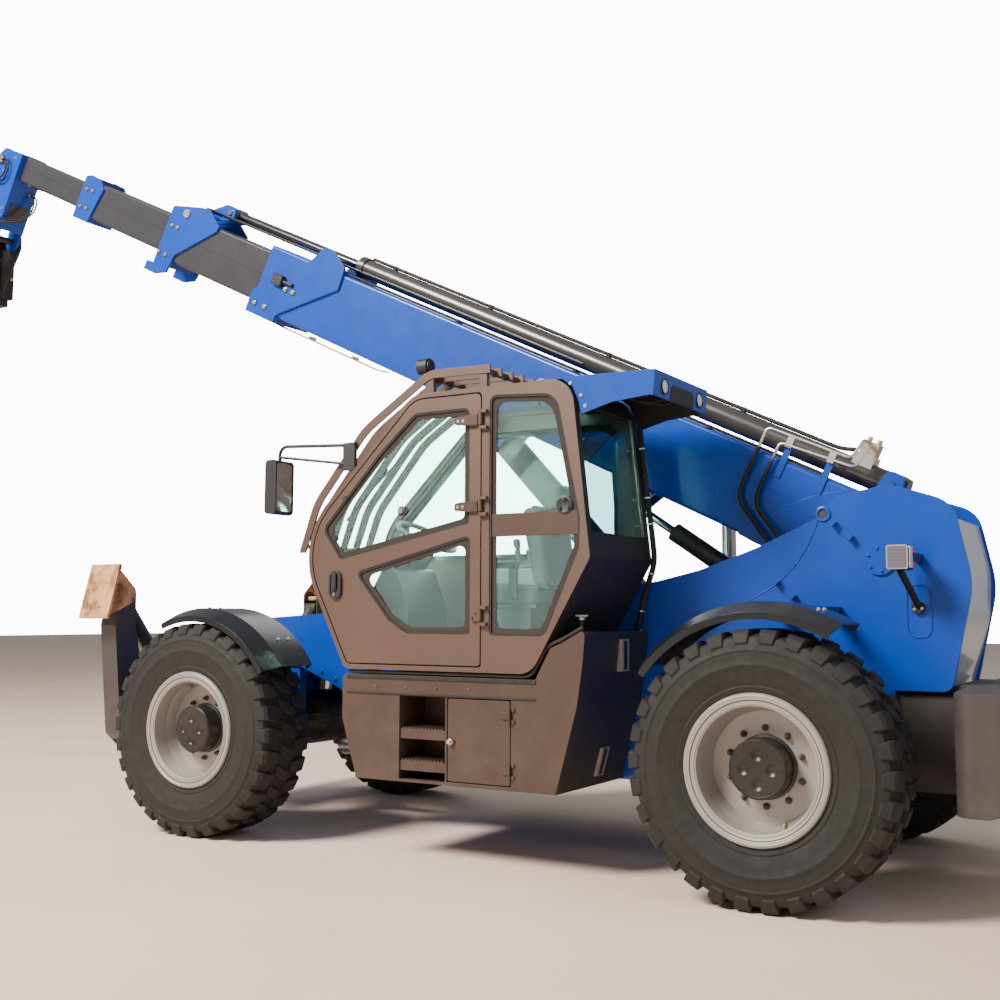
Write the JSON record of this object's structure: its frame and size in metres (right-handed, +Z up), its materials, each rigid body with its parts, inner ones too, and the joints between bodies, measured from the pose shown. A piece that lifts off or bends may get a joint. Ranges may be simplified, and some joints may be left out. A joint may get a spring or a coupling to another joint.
{
  "type": "telehandler",
  "caption": "Four-wheel telescopic handler with side cab, four-section boom, fork carriage, front stabilisers and a rear counterweight.",
  "frame": {"origin": "on the ground under the middle of the machine's overall length and width", "axes": "+X forward towards the forks, +Y to the machine's left, the cab's side, +Z up"},
  "size_m": [10.4511, 2.6476, 5.6389],
  "materials": {
    "chassis_blue": "gloss",
    "cover_grey": "gloss",
    "counterweight_grey": "textured",
    "axle_black": "satin",
    "fender_plastic": "semi-gloss",
    "cab_taupe": "matt",
    "tinted_glass": "tinted",
    "seat_cloth": "woven",
    "interior_plastic": "matt",
    "engine_charcoal": "satin",
    "engine_iron": "rough",
    "exhaust_steel": "satin",
    "lamp_plastic": "gloss",
    "pipe_steel": "bright",
    "cylinder_grey": "satin",
    "rod_chrome": "polished",
    "boom_grey": "satin",
    "carriage_black": "satin",
    "fork_steel": "worn",
    "pad_orange": "rusty",
    "rim_grey": "satin",
    "tyre_rubber": "matt"
  },
  "bodies": {
    "chassis": {"frame_plates": "chassis_blue", "frame_centre": "chassis_blue", "rear_cover": "cover_grey", "counterweight": "counterweight_grey", "axles": "axle_black", "rear_fenders": "fender_plastic", "cab_shell": "cab_taupe", "cab_glazing": "tinted_glass", "operator_seat": "seat_cloth", "cab_controls": "interior_plastic", "cab_guard": "cab_taupe", "rear_visor": "chassis_blue", "mirror": "interior_plastic", "step_box": "cab_taupe", "engine_pod": "engine_charcoal", "engine_block": "engine_iron", "exhaust": "exhaust_steel", "tail_lamps": "lamp_plastic", "stabiliser_beam": "cab_taupe"},
    "door": {"cab_door": "cab_taupe", "cab_door_glazing": "tinted_glass"},
    "locker": {"locker_door": "cab_taupe"},
    "hood": {"engine_hood": "engine_charcoal"},
    "boom": {"boom_section_1": "chassis_blue", "boom_hydraulics": "pipe_steel", "extension_cylinder_barrel": "cylinder_grey"},
    "section_2": {"boom_section_2": "boom_grey", "extension_cylinder_rod": "rod_chrome"},
    "section_3": {"boom_section_3": "boom_grey"},
    "section_4": {"boom_section_4": "boom_grey"},
    "carriage": {"fork_carriage": "carriage_black", "forks": "fork_steel"},
    "lift_barrel": {"lift_cylinder_barrel": "cylinder_grey"},
    "lift_rod": {"lift_cylinder_rod": "rod_chrome"},
    "level_barrel": {"level_cylinder_barrel": "cylinder_grey"},
    "level_rod": {"level_cylinder_rod": "rod_chrome"},
    "tilt_barrel": {"tilt_cylinder_barrel": "cylinder_grey"},
    "tilt_rod": {"tilt_cylinder_rod": "rod_chrome"},
    "knuckle_front_left": {"knuckle_front_left": "axle_black", "front_fender_left": "fender_plastic"},
    "wheel_front_left": {"wheel_front_left": "rim_grey", "tyre_front_left": "tyre_rubber"},
    "knuckle_front_right": {"knuckle_front_right": "axle_black", "front_fender_right": "fender_plastic"},
    "wheel_front_right": {"wheel_front_right": "rim_grey", "tyre_front_right": "tyre_rubber"},
    "knuckle_rear_left": {"knuckle_rear_left": "axle_black"},
    "wheel_rear_left": {"wheel_rear_left": "rim_grey", "tyre_rear_left": "tyre_rubber"},
    "knuckle_rear_right": {"knuckle_rear_right": "axle_black"},
    "wheel_rear_right": {"wheel_rear_right": "rim_grey", "tyre_rear_right": "tyre_rubber"},
    "leg_left": {"stabiliser_leg_left": "cab_taupe"},
    "pad_left": {"stabiliser_pad_left": "pad_orange"},
    "leg_barrel_left": {"stabiliser_barrel_left": "cylinder_grey"},
    "leg_rod_left": {"stabiliser_rod_left": "rod_chrome"},
    "leg_right": {"stabiliser_leg_right": "cab_taupe"},
    "pad_right": {"stabiliser_pad_right": "pad_orange"},
    "leg_barrel_right": {"stabiliser_barrel_right": "cylinder_grey"},
    "leg_rod_right": {"stabiliser_rod_right": "rod_chrome"}
  },
  "joints": [
    {"name": "steer_front_left", "type": "hinge", "parent": "chassis", "child": "knuckle_front_left", "pos_m": [-0.07538, 0.88, 0.675], "axis": [0, 0, 1], "range_deg": [-32, 32]},
    {"name": "roll_front_left", "type": "hinge", "parent": "knuckle_front_left", "child": "wheel_front_left", "pos_m": [-0.07538, 1.102, 0.675], "axis": [0, 1, 0], "continuous": true},
    {"name": "steer_front_right", "type": "hinge", "parent": "chassis", "child": "knuckle_front_right", "pos_m": [-0.07538, -0.88, 0.675], "axis": [0, 0, 1], "range_deg": [-32, 32]},
    {"name": "roll_front_right", "type": "hinge", "parent": "knuckle_front_right", "child": "wheel_front_right", "pos_m": [-0.07538, -1.102, 0.675], "axis": [0, 1, 0], "continuous": true},
    {"name": "steer_rear_left", "type": "hinge", "parent": "chassis", "child": "knuckle_rear_left", "pos_m": [-3.82538, 0.88, 0.675], "axis": [0, 0, 1], "range_deg": [-32, 32]},
    {"name": "roll_rear_left", "type": "hinge", "parent": "knuckle_rear_left", "child": "wheel_rear_left", "pos_m": [-3.82538, 1.102, 0.675], "axis": [0, 1, 0], "continuous": true},
    {"name": "steer_rear_right", "type": "hinge", "parent": "chassis", "child": "knuckle_rear_right", "pos_m": [-3.82538, -0.88, 0.675], "axis": [0, 0, 1], "range_deg": [-32, 32]},
    {"name": "roll_rear_right", "type": "hinge", "parent": "knuckle_rear_right", "child": "wheel_rear_right", "pos_m": [-3.82538, -1.102, 0.675], "axis": [0, 1, 0], "continuous": true},
    {"name": "cab_door_hinge", "type": "hinge", "parent": "chassis", "child": "door", "pos_m": [-2.22538, 1.236, 1.88], "axis": [0, 0, 1], "range_deg": [0, 95]},
    {"name": "locker_hinge", "type": "hinge", "parent": "chassis", "child": "locker", "pos_m": [-2.40538, 1.214, 0.71], "axis": [0, 0, 1], "range_deg": [0, 100]},
    {"name": "hood_hinge", "type": "hinge", "parent": "chassis", "child": "hood", "pos_m": [-1.97538, -0.3803, 1.48], "axis": [-1, 0, 0], "range_deg": [0, 70]},
    {"name": "boom_lift", "type": "hinge", "parent": "chassis", "child": "boom", "pos_m": [-4.21538, 0, 1.712], "axis": [0, -1, 0], "range_deg": [-28.7, 39.3]},
    {"name": "boom_extend", "type": "slide", "parent": "boom", "child": "section_2", "axis": [0.9011, 0, 0.4337], "range_m": [-0.55, 2.6]},
    {"name": "section_3_slide", "type": "slide", "parent": "section_2", "child": "section_3", "axis": [0.9011, 0, 0.4337], "range_m": [-0.55, 2.6]},
    {"name": "section_4_slide", "type": "slide", "parent": "section_3", "child": "section_4", "axis": [0.9011, 0, 0.4337], "range_m": [-0.55, 2.6]},
    {"name": "carriage_tilt", "type": "hinge", "parent": "section_4", "child": "carriage", "pos_m": [3.77538, 0, 4.84743], "axis": [0, -1, 0], "range_deg": [-60, 45]},
    {"name": "lift_barrel_pin", "type": "hinge", "parent": "boom", "child": "lift_barrel", "pos_m": [-1.60732, 0, 2.63424], "axis": [0, -1, 0], "range_deg": [-4, 3]},
    {"name": "lift_stroke", "type": "slide", "parent": "lift_barrel", "child": "lift_rod", "axis": [-0.68, 0, -0.7332], "range_m": [-0.64, 0.88]},
    {"name": "level_barrel_pin", "type": "hinge", "parent": "chassis", "child": "level_barrel", "pos_m": [-4.15838, 0, 1.064], "axis": [0, -1, 0], "range_deg": [-25, 34]},
    {"name": "level_stroke", "type": "slide", "parent": "level_barrel", "child": "level_rod", "axis": [0.8298, 0, 0.558], "range_m": [-0.27, 0.37]},
    {"name": "tilt_barrel_pin", "type": "hinge", "parent": "section_4", "child": "tilt_barrel", "pos_m": [3.60616, 0, 5.42964], "axis": [0, -1, 0], "range_deg": [-5, 6]},
    {"name": "tilt_stroke", "type": "slide", "parent": "tilt_barrel", "child": "tilt_rod", "axis": [0.5629, 0, -0.8266], "range_m": [-0.12, 0.16]},
    {"name": "stabiliser_left", "type": "hinge", "parent": "chassis", "child": "leg_left", "pos_m": [0.84962, 0.9, 0.56], "axis": [-1, 0, 0], "range_deg": [0, 103]},
    {"name": "stabiliser_pad_left", "type": "hinge", "parent": "leg_left", "child": "pad_left", "pos_m": [0.84962, 1.045, 1.54], "axis": [-1, 0, 0], "range_deg": [-20, 20]},
    {"name": "stabiliser_barrel_pin_left", "type": "hinge", "parent": "leg_left", "child": "leg_barrel_left", "pos_m": [0.84962, 1.01, 1.46], "axis": [-1, 0, 0], "range_deg": [-28, 1]},
    {"name": "stabiliser_stroke_left", "type": "slide", "parent": "leg_barrel_left", "child": "leg_rod_left", "axis": [0, -0.6173, -0.7867], "range_m": [0, 0.56]},
    {"name": "stabiliser_right", "type": "hinge", "parent": "chassis", "child": "leg_right", "pos_m": [0.84962, -0.9, 0.56], "axis": [1, 0, 0], "range_deg": [0, 103]},
    {"name": "stabiliser_pad_right", "type": "hinge", "parent": "leg_right", "child": "pad_right", "pos_m": [0.84962, -1.045, 1.54], "axis": [1, 0, 0], "range_deg": [-20, 20]},
    {"name": "stabiliser_barrel_pin_right", "type": "hinge", "parent": "leg_right", "child": "leg_barrel_right", "pos_m": [0.84962, -1.01, 1.46], "axis": [1, 0, 0], "range_deg": [-28, 1]},
    {"name": "stabiliser_stroke_right", "type": "slide", "parent": "leg_barrel_right", "child": "leg_rod_right", "axis": [0, 0.6173, -0.7867], "range_m": [0, 0.56]}
  ],
  "couplings": [
    {"joint": "steer_front_right", "follows": "steer_front_left", "ratio": 1},
    {"joint": "steer_rear_right", "follows": "steer_rear_left", "ratio": 1},
    {"joint": "section_3_slide", "follows": "boom_extend", "ratio": 1},
    {"joint": "section_4_slide", "follows": "boom_extend", "ratio": 1},
    {"joint": "lift_barrel_pin", "follows": "boom_lift", "ratio": -0.08},
    {"joint": "lift_stroke", "follows": "boom_lift", "m_per_rad": 1.2605},
    {"joint": "level_barrel_pin", "follows": "boom_lift", "ratio": 0.82},
    {"joint": "level_stroke", "follows": "boom_lift", "m_per_rad": 0.52999},
    {"joint": "tilt_barrel_pin", "follows": "carriage_tilt", "ratio": -0.08},
    {"joint": "tilt_stroke", "follows": "carriage_tilt", "m_per_rad": -0.1461},
    {"joint": "stabiliser_barrel_pin_left", "follows": "stabiliser_left", "ratio": -0.2623},
    {"joint": "stabiliser_stroke_left", "follows": "stabiliser_left", "m_per_rad": 0.30332},
    {"joint": "stabiliser_barrel_pin_right", "follows": "stabiliser_right", "ratio": -0.2623},
    {"joint": "stabiliser_stroke_right", "follows": "stabiliser_right", "m_per_rad": 0.30332}
  ]
}
